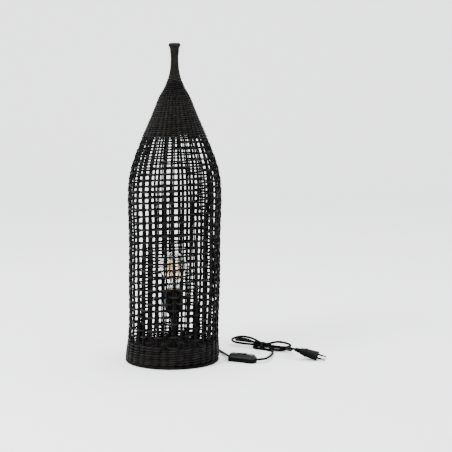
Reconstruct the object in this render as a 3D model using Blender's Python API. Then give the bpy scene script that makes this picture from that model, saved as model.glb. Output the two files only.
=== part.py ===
"""A woven rattan bottle lamp: a bottle-shaped wicker shade that stands over a weighted base, an E27
lampholder with a filament bulb on a threaded tube, and a mains lead with a rocker switch, a tied hank
and a flat two-pin plug. Metres, +Z up, the origin on the table under the middle of the base."""

import math

import bmesh
import bpy
from mathutils import Matrix, Vector

GAP = 0.0003  # between pieces that touch
END_GAP = 0.0008  # at a cord's end that meets a housing a little askew

# The shade: height and outer radius along its outline, from the foot to the rim.
OUTLINE = [
    (0.000, 0.1040), (0.020, 0.1038), (0.045, 0.1016), (0.090, 0.0999), (0.180, 0.1014), (0.270, 0.1011),
    (0.335, 0.1027), (0.362, 0.1031), (0.400, 0.1014), (0.437, 0.0939), (0.490, 0.0737), (0.542, 0.0510),
    (0.585, 0.0332), (0.602, 0.0231), (0.620, 0.0154), (0.637, 0.0104), (0.655, 0.0082), (0.672, 0.0080),
    (0.686, 0.0098), (0.700, 0.0112),
]
WALL = 0.0050  # of the woven body
NECK_WALL = 0.0028
NECK_WALL_FROM, NECK_WALL_TO = 0.600, 0.650  # the wall thins between these heights
BORDER_TOP, SKIRT_TOP, BODY_TOP, SHOULDER_TOP = 0.0080, 0.0455, 0.3625, 0.4900
CONE_TOP, NECK_TOP, SHADE_TOP = 0.6180, 0.6885, 0.7000
BORDER_BORE, BORDER_R = 0.0962, 0.1040
RIM_BORE, RIM_R = 0.0066, 0.0112
STAKES_SHOWN = 18  # every second stake of the real weave
BODY_ROWS, SHOULDER_ROWS = 7, 3
BAR = 0.0045  # half the width of a lattice bar
NOTCH_HALF, NOTCH_TOP = 0.0075, 0.0190  # the gap in the foot that the cord leaves by

# The base.
PAN_R, PAN_TOP, PAN_WALL = 0.0880, 0.0340, 0.0015
PAD_R, PAD_H = 0.0860, 0.0020
WEIGHT_R, WEIGHT_H, WEIGHT_BORE = 0.0750, 0.0150, 0.0180
TUBE_R, TUBE_BORE, TUBE_LOW, TUBE_TOP = 0.0050, 0.0034, 0.0246, 0.1085
NUT_FLATS, NUT_H = 0.0140, 0.0050
WASHER_R, WASHER_H = 0.0100, 0.0015
LEAD_R, LEAD_Z, LEAD_BEND = 0.0025, 0.0115, 0.0125
LEAD_AZIMUTH = math.radians(75)  # the lead leaves at the back, to the right
RELIEF_END = 0.1120  # how far out the cord bush reaches

# The lampholder and the bulb.
HOLDER_R, HOLDER_LOW, HOLDER_JOIN, HOLDER_TOP = 0.0184, 0.1001, 0.1160, 0.1586
HOLDER_BORE = 0.0146
BULB_TIP_Z, CAP_LOW, CAP_TOP = 0.1360, 0.1412, 0.1628
CAP_R, CAP_WALL, THREADS, THREAD_PITCH, THREAD_DEPTH = 0.0130, 0.0007, 5, 0.00362, 0.0009
GLASS_R, GLASS_TOP, GLASS_WALL, GLASS_NECK = 0.0300, 0.2424, 0.0008, 0.0130
ROUND_OF_GLASS = math.radians(118)  # how far round from the crown the bulb stays a ball
FILAMENT_LOW, FILAMENT_TOP, FILAMENT_RING, FILAMENT_R = 0.1866, 0.2224, 0.0110, 0.0010
FILAMENT_TURN = math.radians(20)

# The cord and what is on it.
CORD_R = 0.0027
SWITCH_CENTRE, SWITCH_TURN = Vector((0.1530, -0.0195, 0.0)), math.radians(-27.5)
SWITCH_LENGTH, SWITCH_WIDTH, SWITCH_SPLIT, SWITCH_TOP = 0.0660, 0.0260, 0.0090, 0.0185
SWITCH_WAIST = 0.0016  # how much each side draws in at the middle
CORD_IN_SWITCH_Z = 0.0080
ROCKER_LENGTH, ROCKER_WIDTH, ROCKER_PIVOT_Z = 0.0190, 0.0090, 0.0140
ROCKER_TIP, ROCKER_HOLLOW, ROCKER_LEAN = 0.0058, 0.0022, math.radians(9)
HANK_CENTRE, HANK_TURN = Vector((0.1970, 0.1225, 0.0)), math.radians(-32)
HANK_LENGTH, HANK_WIDTH, HANK_LOW, HANK_TOP = 0.1560, 0.0360, 0.0018, 0.0220
WAIST_AT, WAIST_DEPTH, WAIST_SPREAD, WAIST_TOP = 0.0060, 0.0087, 0.0220, 0.0140  # where the tie is
TIE_LENGTH, TIE_WALL, TIE_ROOM = 0.0080, 0.0012, 0.0070
PLUG_REAR = Vector((0.2707, 0.0078, 0.0220))
PLUG_TURN, PLUG_DIP, PLUG_ROLL = math.radians(-11), math.radians(14.6), math.radians(11)
PLUG_LENGTH, PIN_LENGTH, PIN_R, PIN_APART = 0.0530, 0.0190, 0.0020, 0.0186

LEAD_OUT = Vector((math.cos(LEAD_AZIMUTH), math.sin(LEAD_AZIMUTH), 0))
CORD_START = LEAD_OUT * (RELIEF_END + END_GAP) + Vector((0, 0, LEAD_Z))

# The cord's route past its start: round the back of the foot, then forward to the switch.
TO_SWITCH = [
    (0.0315, 0.1175, 0.0108), (0.0344, 0.1270, 0.0080), (0.0400, 0.1360, 0.0050), (0.0495, 0.1420, 0.0033),
    (0.0605, 0.1430, 0.0029), (0.0718, 0.1402, 0.0029), (0.0812, 0.1330, 0.0029), (0.0880, 0.1220, 0.0029),
    (0.0937, 0.1090, 0.0029), (0.0984, 0.0955, 0.0029), (0.1026, 0.0815, 0.0030), (0.1065, 0.0680, 0.0034),
    (0.1105, 0.0535, 0.0042), (0.1142, 0.0390, 0.0052), (0.1178, 0.0245, 0.0063), (0.1209, 0.0110, 0.0073),
    (0.1238, 0.0016, 0.0077),
]
# From the switch, in a curve to the right and back, to the hank's near side.
TO_HANK = [
    (0.1846, -0.0334, 0.0081), (0.1906, -0.0340, 0.0084), (0.1974, -0.0318, 0.0086),
    (0.2032, -0.0262, 0.0084), (0.2078, -0.0170, 0.0078), (0.2112, -0.0045, 0.0070),
    (0.2144, 0.0095, 0.0060), (0.2175, 0.0245, 0.0050), (0.2203, 0.0390, 0.0041),
    (0.2221, 0.0530, 0.0034), (0.2227, 0.0655, 0.0030),
]
HANK_ENTRY = [(0.0430, -0.0232, 0.0029), (0.0365, -0.0202, 0.0029)]  # along the hank, across it, and up
HANK_EXIT = (0.0772, -0.0086, 0.0060)
# From the hank's near end, up to the plug's tail.
TO_PLUG = [
    (0.2632, 0.0678, 0.0066), (0.2650, 0.0590, 0.0092), (0.2638, 0.0508, 0.0118), (0.2598, 0.0434, 0.0142),
    (0.2560, 0.0360, 0.0165), (0.2537, 0.0290, 0.0189), (0.2540, 0.0222, 0.0212), (0.2572, 0.0155, 0.0229),
    (0.2632, 0.0106, 0.0235),
]


def clear_scene():
    for thing in list(bpy.data.objects):
        bpy.data.objects.remove(thing, do_unlink=True)


def material(name, colour, roughness, metallic=0.0, alpha=1.0):
    made = bpy.data.materials.new(name)
    made.use_nodes = True
    shader = made.node_tree.nodes["Principled BSDF"]
    shader.inputs["Base Color"].default_value = (*colour, 1)
    shader.inputs["Roughness"].default_value = roughness
    shader.inputs["Metallic"].default_value = metallic
    shader.inputs["Alpha"].default_value = alpha
    return made


def rattan(name):
    return material(name, (0.030, 0.024, 0.020), 0.50)


def black_plastic(name):
    return material(name, (0.015, 0.015, 0.016), 0.42)


def steel(name):
    return material(name, (0.55, 0.56, 0.58), 0.35, 1.0)


def brass(name):
    return material(name, (0.72, 0.53, 0.24), 0.30, 1.0)


def add(name, mesh, look, matrix=None):
    made = bpy.data.objects.new(name, mesh)
    made.data.materials.append(look)
    bpy.context.scene.collection.objects.link(made)
    if matrix is not None:
        made.matrix_world = matrix
    return made


def mesh_of(name, bm, smooth=40):
    bmesh.ops.recalc_face_normals(bm, faces=bm.faces[:])
    mesh = bpy.data.meshes.new(name)
    bm.to_mesh(mesh)
    bm.free()
    mesh.shade_smooth()
    mesh.set_sharp_from_angle(angle=math.radians(smooth))
    return mesh


def turned(name, profile, steps, look, matrix=None):
    """A closed outline of (radius, height) turned about Z. An edge along the axis is left out."""
    bm = bmesh.new()
    corners = [bm.verts.new((r, 0, z)) for r, z in profile]
    edges = [
        bm.edges.new((a, b))
        for a, b in zip(corners, corners[1:] + corners[:1], strict=True)
        if a.co.x > 1e-9 or b.co.x > 1e-9
    ]
    bmesh.ops.spin(
        bm, geom=corners + edges, cent=(0, 0, 0), axis=(0, 0, 1), angle=math.tau, steps=steps,
        use_merge=True, use_duplicate=False,
    )
    bmesh.ops.remove_doubles(bm, verts=bm.verts[:], dist=1e-6)
    return add(name, mesh_of(name, bm), look, matrix)


def extruded(name, outline, low, high, look, matrix=None):
    """A flat outline of (x, y), carried from one height to another."""
    bm = bmesh.new()
    face = bm.faces.new([bm.verts.new((x, y, low)) for x, y in outline])
    grown = bmesh.ops.extrude_face_region(bm, geom=[face])
    bmesh.ops.translate(
        bm, vec=(0, 0, high - low), verts=[v for v in grown["geom"] if isinstance(v, bmesh.types.BMVert)]
    )
    return add(name, mesh_of(name, bm), look, matrix)


def lofted(name, sections, look, matrix=None):
    """A skin over rings of points, with a flat cap at each end."""
    bm = bmesh.new()
    rings = [[bm.verts.new(p) for p in ring] for ring in sections]
    count = len(rings[0])
    for low, high in zip(rings, rings[1:]):
        for i in range(count):
            j = (i + 1) % count
            bm.faces.new((low[i], low[j], high[j], high[i]))
    bm.faces.new(rings[0][::-1])
    bm.faces.new(rings[-1])
    return add(name, mesh_of(name, bm), look, matrix)


def smooth_route(points, step):
    """Points a step apart along a smooth curve through a route's own points."""
    route = [Vector(p) for p in points]
    ends = [2 * route[0] - route[1], *route, 2 * route[-1] - route[-2]]
    fine = []
    for a, b, c, d in zip(ends, ends[1:], ends[2:], ends[3:]):
        for k in range(12):
            t = k / 12
            bend, twist = 2 * a - 5 * b + 4 * c - d, 3 * b - a - 3 * c + d
            fine.append(0.5 * (2 * b + (c - a) * t + bend * t**2 + twist * t**3))
    fine.append(route[-1])
    long = sum((b - a).length for a, b in zip(fine, fine[1:]))
    pieces = max(2, round(long / step))
    spaced, walked, at = [fine[0]], 0.0, 1
    for k in range(1, pieces):
        target = long * k / pieces
        while walked + (fine[at] - fine[at - 1]).length < target:
            walked += (fine[at] - fine[at - 1]).length
            at += 1
        run = fine[at] - fine[at - 1]
        spaced.append(fine[at - 1] + run * ((target - walked) / run.length))
    return [*spaced, fine[-1]]


def tube(name, points, radius, look, resolution=2):
    curve = bpy.data.curves.new(name, "CURVE")
    curve.dimensions = "3D"
    curve.bevel_depth = radius
    curve.bevel_resolution = resolution
    curve.use_fill_caps = True
    spline = curve.splines.new("POLY")
    spline.points.add(len(points) - 1)
    for slot, point in zip(spline.points, points, strict=True):
        slot.co = (*point, 1)
    return add(name, curve, look)


def cutter(name, size, matrix):
    bm = bmesh.new()
    bmesh.ops.create_cube(bm, size=1)
    bmesh.ops.scale(bm, vec=size, verts=bm.verts[:])
    return as_cutter(add(name, mesh_of(name, bm), material(name, (0.5, 0.5, 0.5), 0.5), matrix))


def round_cutter(name, radius, length, matrix):
    profile = [(0, -length / 2), (radius, -length / 2), (radius, length / 2), (0, length / 2)]
    return as_cutter(turned(name, profile, 24, material(name, (0.5, 0.5, 0.5), 0.5), matrix))


def as_cutter(made):
    made.hide_render = True
    made.display_type = "WIRE"
    return made


def cut(target, tool, keep="DIFFERENCE"):
    modifier = target.modifiers.new("cut", "BOOLEAN")
    modifier.operation = keep
    modifier.object = tool


def capsule(length, width, steps=8):
    """A long outline with round ends."""
    half, radius = (length - width) / 2, width / 2
    points = []
    for side, start in ((1, -math.pi / 2), (-1, math.pi / 2)):
        for k in range(steps + 1):
            angle = start + math.pi * k / steps
            points.append((side * half + radius * math.cos(angle), radius * math.sin(angle)))
    return points


def turn_about(axis, angle, origin=(0, 0, 0)):
    return Matrix.Translation(origin) @ Matrix.Rotation(angle, 4, axis)


def shade_radius(z):
    """The outline's outer radius at a height, on a smooth curve through its points."""
    last = len(OUTLINE) - 1
    at = next((i for i in range(last) if z <= OUTLINE[i + 1][0]), last - 1)

    def slope(i):
        (z0, r0), (z1, r1) = OUTLINE[max(i - 1, 0)], OUTLINE[min(i + 1, last)]
        return (r1 - r0) / (z1 - z0)

    (z0, r0), (z1, r1) = OUTLINE[at], OUTLINE[at + 1]
    h = z1 - z0
    t = (z - z0) / h
    return (
        (2 * t**3 - 3 * t**2 + 1) * r0 + (t**3 - 2 * t**2 + t) * h * slope(at)
        + (3 * t**2 - 2 * t**3) * r1 + (t**3 - t**2) * h * slope(at + 1)
    )


def shade_wall(z):
    thin = min(1.0, max(0.0, (z - NECK_WALL_FROM) / (NECK_WALL_TO - NECK_WALL_FROM)))
    return WALL + (NECK_WALL - WALL) * thin


def woven_shell(name, low, high, rings, steps):
    """A closed wall that follows the shade's outline between two heights."""
    heights = [low + (high - low) * k / rings for k in range(rings + 1)]
    inner = [(shade_radius(z) - shade_wall(z), z) for z in heights]
    outer = [(shade_radius(z), z) for z in reversed(heights)]
    return turned(name, inner + outer, steps, rattan(name))


def ring_section(bore, outer, low, high):
    """The section of a rope-like ring: eight sides, flat at the top, the bottom and both walls."""
    middle, level = (bore + outer) / 2, (low + high) / 2
    spread = 1 / math.cos(math.pi / 8)
    return [
        (middle + (outer - bore) / 2 * spread * math.cos(a), level + (high - low) / 2 * spread * math.sin(a))
        for a in (math.tau * (k + 0.5) / 8 for k in range(8))
    ]


def make_shade():
    border = ring_section(BORDER_BORE, BORDER_R, 0, BORDER_TOP)
    foot = turned("foot_border", border, 48, rattan("foot_border"))
    skirt = woven_shell("skirt_weave", BORDER_TOP + GAP, SKIRT_TOP, 3, 48)
    notch = cutter(
        "cord_notch",
        (0.0400, 2 * NOTCH_HALF, 2 * NOTCH_TOP),
        turn_about("Z", LEAD_AZIMUTH) @ Matrix.Translation((0.1000, 0, 0)),
    )
    cut(foot, notch)
    cut(skirt, notch)
    make_lattice("body_weave", SKIRT_TOP + GAP, BODY_TOP, BODY_ROWS)
    make_lattice("shoulder_weave", BODY_TOP + GAP, SHOULDER_TOP, SHOULDER_ROWS)
    woven_shell("cone_weave", SHOULDER_TOP + GAP, CONE_TOP, 6, 36)
    woven_shell("neck_weave", CONE_TOP + GAP, NECK_TOP, 7, 20)
    rim = ring_section(RIM_BORE, RIM_R, NECK_TOP + GAP, SHADE_TOP)
    turned("rim_ring", rim, 20, rattan("rim_ring"))


def make_lattice(name, low, high, rows):
    """The open weave, as a wall with a window between each pair of bars."""
    bm = bmesh.new()
    grid = [
        [
            bm.verts.new((shade_radius(z) * math.cos(a), shade_radius(z) * math.sin(a), z))
            for a in (math.tau * i / STAKES_SHOWN for i in range(STAKES_SHOWN))
        ]
        for z in (low + (high - low) * j / rows for j in range(rows + 1))
    ]
    for under, over in zip(grid, grid[1:]):
        for i in range(STAKES_SHOWN):
            j = (i + 1) % STAKES_SHOWN
            bm.faces.new((under[i], under[j], over[j], over[i]))
    bm.normal_update()
    windows = bm.faces[:]
    bmesh.ops.inset_individual(bm, faces=windows, thickness=BAR, use_even_offset=True)
    bmesh.ops.delete(bm, geom=windows, context="FACES")
    outer = bm.verts[:]
    inner = {
        v: bm.verts.new((v.co.x * k, v.co.y * k, v.co.z))
        for v, k in ((v, 1 - WALL / math.hypot(v.co.x, v.co.y)) for v in outer)
    }
    rims = [e for e in bm.edges if len(e.link_faces) == 1]
    for face in bm.faces[:]:
        bm.faces.new([inner[v] for v in reversed(face.verts)])
    for edge in rims:
        a, b = edge.verts
        bm.faces.new((a, b, inner[b], inner[a]))
    return add(name, mesh_of(name, bm, 30), rattan(name))


def washer(name, low):
    ring = [(TUBE_R + GAP, low), (WASHER_R, low), (WASHER_R, low + WASHER_H), (TUBE_R + GAP, low + WASHER_H)]
    return turned(name, ring, 24, steel(name))


def nut(name, low):
    corner = NUT_FLATS / math.sqrt(3)
    outline = [(corner * math.cos(a), corner * math.sin(a)) for a in (math.tau * k / 6 for k in range(6))]
    made = extruded(name, outline, low, low + NUT_H, steel(name))
    cut(made, round_cutter(name + "_bore", TUBE_R + GAP, 4 * NUT_H, Matrix.Translation((0, 0, low))))


def make_base():
    turned(
        "felt_pad", [(0, 0), (PAD_R, 0), (PAD_R, PAD_H), (0, PAD_H)], 48,
        material("felt_pad", (0.02, 0.02, 0.02), 0.95),
    )
    low = PAD_H + GAP
    weight = turned(
        "base_weight",
        [(WEIGHT_BORE, low), (WEIGHT_R, low), (WEIGHT_R, low + WEIGHT_H), (WEIGHT_BORE, low + WEIGHT_H)],
        36, material("base_weight", (0.09, 0.09, 0.09), 0.75, 0.8),
    )
    outward = turn_about("Z", LEAD_AZIMUTH) @ Matrix.Translation((0.0540, 0, 0))
    cut(weight, cutter("lead_slot", (0.0800, 0.0080, 0.0600), outward))
    inside, bevel = PAN_R - PAN_WALL, 0.0030
    pan = turned(
        "base_pan",
        [
            (inside, low), (PAN_R, low), (PAN_R, PAN_TOP - bevel), (PAN_R - bevel, PAN_TOP),
            (TUBE_R + GAP, PAN_TOP), (TUBE_R + GAP, PAN_TOP - PAN_WALL),
            (inside - bevel, PAN_TOP - PAN_WALL), (inside, PAN_TOP - PAN_WALL - bevel),
        ],
        48, material("base_pan", (0.012, 0.012, 0.012), 0.45, 0.2),
    )
    sideways = turn_about("Z", LEAD_AZIMUTH) @ turn_about("Y", math.pi / 2, (PAN_R, 0, LEAD_Z))
    cut(pan, round_cutter("bush_hole", 0.0064, 0.0200, sideways))
    washer("lower_washer", PAN_TOP - PAN_WALL - GAP - WASHER_H)
    nut("lower_nut", PAN_TOP - PAN_WALL - 2 * GAP - WASHER_H - NUT_H)
    washer("upper_washer", PAN_TOP + GAP)
    nut("upper_nut", PAN_TOP + 2 * GAP + WASHER_H)
    turned(
        "threaded_tube",
        [(TUBE_BORE, TUBE_LOW), (TUBE_R, TUBE_LOW), (TUBE_R, TUBE_TOP), (TUBE_BORE, TUBE_TOP)], 20,
        steel("threaded_tube"),
    )
    make_bush()
    make_lead()


def make_bush():
    """The cord bush: a collar on each side of the pan's wall and a tail that tapers along the cord."""
    bore = LEAD_R + GAP
    profile = [
        (bore, 0.0830), (0.0076, 0.0830), (0.0076, 0.0857), (0.0061, 0.0857), (0.0061, 0.0884),
        (0.0080, 0.0884), (0.0080, 0.0898), (0.0052, 0.0902), (0.0044, 0.1010), (0.0039, RELIEF_END),
        (bore, RELIEF_END),
    ]
    along = turn_about("Z", LEAD_AZIMUTH) @ turn_about("Y", math.pi / 2, (0, 0, LEAD_Z))
    return turned("cord_bush", profile, 20, black_plastic("cord_bush"), along)


def make_lead():
    """The stretch of cord inside: in along the weight's slot, then up through the tube."""
    bend = [
        LEAD_OUT * (LEAD_BEND * (1 - math.sin(a))) + Vector((0, 0, LEAD_Z + LEAD_BEND * (1 - math.cos(a))))
        for a in (math.pi / 2 * k / 6 for k in range(7))
    ]
    inward = [LEAD_OUT * r + Vector((0, 0, LEAD_Z)) for r in (RELIEF_END, 0.090, 0.065, 0.040, 0.024)]
    upward = [Vector((0, 0, z)) for z in (0.040, 0.075, 0.1130)]
    tube("inner_lead", inward + bend + upward, LEAD_R, black_plastic("inner_lead"))


def make_holder():
    low, join, top = HOLDER_LOW, HOLDER_JOIN, HOLDER_TOP
    turned(
        "holder_dome",
        [
            (TUBE_R + GAP, low), (0.0080, low), (0.0101, low + 0.0022), (0.0126, low + 0.0052),
            (0.0160, low + 0.0090), (0.0180, low + 0.0128), (HOLDER_R, join - GAP), (0.0164, join - GAP),
            (0.0150, low + 0.0120), (0.0110, low + 0.0078), (TUBE_R + GAP, low + 0.0060),
        ],
        24, black_plastic("holder_dome"),
    )
    turned(
        "holder_shell",
        [
            (0.0167, join), (HOLDER_R, join), (HOLDER_R, top - 0.0012), (HOLDER_R - 0.0010, top),
            (HOLDER_BORE + 0.0006, top), (HOLDER_BORE, top - 0.0008), (HOLDER_BORE, 0.1312), (0.0167, 0.1312),
        ],
        24, black_plastic("holder_shell"),
    )
    turned(
        "holder_insert", [(0, 0.1190), (0.0162, 0.1190), (0.0162, 0.1308), (0, 0.1308)], 24,
        material("holder_insert", (0.75, 0.73, 0.68), 0.4),
    )
    sideways = Matrix.Translation((0, 0.0025, 0)) @ turn_about("X", math.pi / 2)
    leaf = [
        (-0.0070, 0.1311), (0.0030, 0.1311), (0.0045, 0.1349), (0.0015, 0.1357), (-0.0015, 0.1357),
        (-0.0015, 0.1350), (0.0010, 0.1350), (0.0034, 0.1345), (0.0024, 0.1318), (-0.0070, 0.1318),
    ]
    extruded("centre_contact", leaf, 0, 0.0050, brass("centre_contact"), sideways)
    strip = [(0.0135, -0.0020), (0.0141, -0.0020), (0.0141, 0.0020), (0.0135, 0.0020)]
    extruded("side_contact", strip, 0.1311, 0.1440, brass("side_contact"))
    for number, x in ((1, -0.0085), (2, 0.0085)):
        name = f"terminal_screw_{number}"
        head = [(0, 0.1152), (0.0021, 0.1152), (0.0026, 0.1158), (0.0026, 0.1187), (0, 0.1187)]
        turned(name, head, 12, brass(name), Matrix.Translation((x, 0, 0)))


def make_bulb():
    tip = [(0, BULB_TIP_Z), (0.0030, BULB_TIP_Z), (0.0044, 0.1366), (0.0046, 0.1373), (0, 0.1373)]
    turned("bulb_tip", tip, 16, steel("bulb_tip"))
    turned(
        "cap_insulator", [(0, 0.1376), (0.0048, 0.1376), (0.0092, 0.1409), (0, 0.1409)], 24,
        material("cap_insulator", (0.01, 0.01, 0.012), 0.15),
    )
    first = CAP_LOW + 0.0020
    threads = [
        (CAP_R - THREAD_DEPTH * (k % 2), first + THREAD_PITCH * k / 2) for k in range(2 * THREADS + 1)
    ]
    inner = CAP_R - THREAD_DEPTH - CAP_WALL
    cap = [
        (0.0096, CAP_LOW), *threads, (CAP_R, CAP_TOP), (inner, CAP_TOP), (inner, CAP_LOW + 0.0022),
        (0.0090, CAP_LOW + CAP_WALL),
    ]
    turned("bulb_cap", cap, 20, material("bulb_cap", (0.78, 0.77, 0.74), 0.25, 1.0))
    make_glass()
    make_filaments()


def glass_profile(radius, neck, top, low):
    """From the crown down: a round bulb that draws in to the neck."""
    centre = top - radius
    points = [
        (radius * math.sin(a), centre + radius * math.cos(a))
        for a in (ROUND_OF_GLASS * k / 8 for k in range(9))
    ]
    start = Vector(points[-1])
    fall = ROUND_OF_GLASS - math.pi / 2
    reach = start.y - low
    leave = start - Vector((math.tan(fall), 1)) * reach * 0.45
    arrive, end = Vector((neck, low + reach * 0.42)), Vector((neck, low))
    for k in range(1, 6):
        t = k / 5
        p = start * (1 - t) ** 3 + leave * 3 * t * (1 - t) ** 2 + arrive * 3 * t**2 * (1 - t) + end * t**3
        points.append((p.x, p.y))
    return points


def make_glass():
    low = CAP_TOP + GAP
    outer = glass_profile(GLASS_R, GLASS_NECK, GLASS_TOP, low)
    inner = glass_profile(GLASS_R - GLASS_WALL, GLASS_NECK - GLASS_WALL, GLASS_TOP - GLASS_WALL, low)
    look = material("bulb_glass", (0.95, 0.96, 0.97), 0.02, 0.0, 0.25)
    turned("bulb_glass", outer + inner[::-1], 24, look)


def make_filaments():
    glass = material("glass_stem", (0.92, 0.94, 0.95), 0.05, 0.0, 0.4)
    low, top = FILAMENT_LOW, FILAMENT_TOP
    foot = CAP_TOP + 0.0008
    stem = [
        (0, foot), (0.0112, foot), (0.0104, foot + 0.0018), (0.0052, foot + 0.0054), (0.0036, foot + 0.0102),
        (0.0032, low - 0.0020), (0.0018, low - 0.0010), (0.0018, top + 0.0006), (0, top + 0.0006),
    ]
    turned("glass_stem", stem, 16, glass)
    for number in range(4):
        name = f"filament_{number + 1}"
        angle = FILAMENT_TURN + math.pi / 2 * number
        place = Matrix.Translation((FILAMENT_RING * math.cos(angle), FILAMENT_RING * math.sin(angle), 0))
        rod = [(0, low), (FILAMENT_R, low), (FILAMENT_R, top), (0, top)]
        turned(name, rod, 8, material(name, (0.85, 0.50, 0.12), 0.45), place)
    half, reach = 0.0007, FILAMENT_RING + 0.0009
    arms = []
    for k in range(4):
        angle = FILAMENT_TURN + math.pi / 2 * k
        along = Vector((math.cos(angle), math.sin(angle)))
        across = Vector((-along.y, along.x))
        arms += [along * half - across * half, along * reach - across * half, along * reach + across * half]
    outline = [(p.x, p.y) for p in arms]
    extruded("filament_crown", outline, top + 2 * GAP + 0.0003, top + 0.0016, steel("filament_crown"))


def switch_frame():
    return Matrix.Translation(SWITCH_CENTRE) @ Matrix.Rotation(SWITCH_TURN, 4, "Z")


def shrunk(outline, by):
    """An outline drawn in by a distance, along each corner's own direction."""
    inner = []
    for (x0, y0), (x1, y1), (x2, y2) in zip(
        outline[-1:] + outline[:-1], outline, outline[1:] + outline[:1], strict=True
    ):
        along = (Vector((x2, y2)) - Vector((x0, y0))).normalized()
        inner.append((x1 - along.y * by, y1 + along.x * by))
    return inner


def tray(name, outline, wall, levels, inner_levels, look, matrix):
    """A tray whose rim comes first: skinned outside, over the face, and down the inside."""
    bm = bmesh.new()
    shells = [*levels[::-1], *((z, inset + wall) for z, inset in inner_levels)]
    rings = [[bm.verts.new((x, y, z)) for x, y in shrunk(outline, inset)] for z, inset in shells]
    count = len(outline)
    for low, high in zip(rings, rings[1:]):
        for i in range(count):
            j = (i + 1) % count
            bm.faces.new((low[i], low[j], high[j], high[i]))
    bm.faces.new(rings[0])
    bm.faces.new(rings[-1])
    return add(name, mesh_of(name, bm), look, matrix)


def make_switch():
    place = switch_frame()
    outline = capsule_with_corners(SWITCH_LENGTH, SWITCH_WIDTH, 0.0095, SWITCH_WAIST)
    wall, split, top = 0.0018, SWITCH_SPLIT, SWITCH_TOP
    base = tray(
        "switch_base", outline, wall, [(split, 0), (0.0012, 0), (0, 0.0012)],
        [(split, 0), (0.0020, 0)], black_plastic("switch_base"), place,
    )
    cover = tray(
        "switch_cover", outline, wall,
        [(split + GAP, 0), (0.0118, 0.0002), (0.0150, 0.0016), (0.0172, 0.0040), (top, 0.0070)],
        [(split + GAP, 0), (0.0118, 0.0004), (0.0148, 0.0018), (0.0160, 0.0040)],
        material("switch_cover", (0.11, 0.11, 0.11), 0.5), place,
    )
    mouth = capsule(ROCKER_LENGTH + 0.0032, ROCKER_WIDTH + 0.0012)
    slot = extruded("rocker_slot", mouth, 0.0110, 0.0300, black_plastic("rocker_slot"), place)
    cut(cover, as_cutter(slot))
    for side in (-1, 1):
        hole = turn_about("Y", math.pi / 2, (side * SWITCH_LENGTH / 2, 0, CORD_IN_SWITCH_Z))
        way = round_cutter(f"cord_hole_{side + 2}", 0.0018, 0.0120, place @ hole)
        cut(base, way)
    for number, side in ((1, -1), (2, 1)):
        name = f"switch_screw_{number}"
        pillar = [(0, 0.0024), (0.0014, 0.0024), (0.0014, 0.0105), (0, 0.0105)]
        turned(name, pillar, 10, steel(name), place @ Matrix.Translation((side * 0.0210, 0.0055, 0)))
    plate = [(0.0028, -0.0035), (0.0098, -0.0035), (0.0098, 0.0035), (0.0028, 0.0035)]
    extruded("fixed_contact", plate, 0.0024, 0.0064, brass("fixed_contact"), place)
    plate = [(-0.0120, -0.0035), (-0.0020, -0.0035), (-0.0020, 0.0035), (-0.0120, 0.0035)]
    extruded("feed_contact", plate, 0.0024, 0.0064, brass("feed_contact"), place)
    make_rocker(place)


def make_rocker(place):
    """The rocker tips about a pin across the switch. At rest its raised end is the right one: off."""
    pivot = bpy.data.objects.new("rocker_pivot", None)
    bpy.context.scene.collection.objects.link(pivot)
    pivot.matrix_world = place @ Matrix.Translation((0, 0, ROCKER_PIVOT_Z))
    half, width = ROCKER_LENGTH / 2, ROCKER_WIDTH
    top = [
        (x, ROCKER_TIP - ROCKER_HOLLOW * (1 - (x / half) ** 2))
        for x in (half * (1 - 2 * k / 8) for k in range(9))
    ]
    low = [(-half * 0.55, -0.0036), (half * 0.55, -0.0036), (half * 0.86, -0.0004)]
    side_view = [*low, *top, (-half * 0.86, -0.0004)]
    upright = Matrix.Rotation(math.pi / 2, 4, "X")
    lean = Matrix.Rotation(-ROCKER_LEAN, 4, "Y")
    body = extruded("switch_rocker", side_view, -width / 2, width / 2, black_plastic("switch_rocker"))
    body.parent = pivot
    body.matrix_local = lean @ upright
    bore = round_cutter("rocker_bore", 0.0013, 0.0300, Matrix.Identity(4))
    bore.parent = pivot
    bore.matrix_local = upright
    cut(body, bore)
    look = black_plastic("rocker_oval")
    oval = extruded("rocker_oval", capsule(ROCKER_LENGTH, width), -0.0200, 0.0200, look)
    as_cutter(oval).parent = pivot
    oval.matrix_local = lean
    cut(body, oval, "INTERSECT")
    pin = [(0, -0.0068), (0.0010, -0.0068), (0.0010, 0.0068), (0, 0.0068)]
    turned("rocker_pin", pin, 12, steel("rocker_pin"), pivot.matrix_world @ upright)


def capsule_with_corners(length, width, corner, waist):
    """An oblong outline with round corners, drawn in at the middle of each long side."""
    points = []
    x, y = length / 2 - corner, width / 2 - corner
    for cx, cy, start in ((x, -y, -90), (x, y, 0), (-x, y, 90), (-x, -y, 180)):
        points += [
            (cx + corner * math.cos(a), cy + corner * math.sin(a))
            for a in (math.radians(start + 30 * k) for k in range(4))
        ]
        if start in (0, 180):
            side = 1 if start == 0 else -1
            points += [(side * x * t, side * (width / 2 - waist * (1 - t * t))) for t in (0.5, 0.0, -0.5)]
    return points


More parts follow.
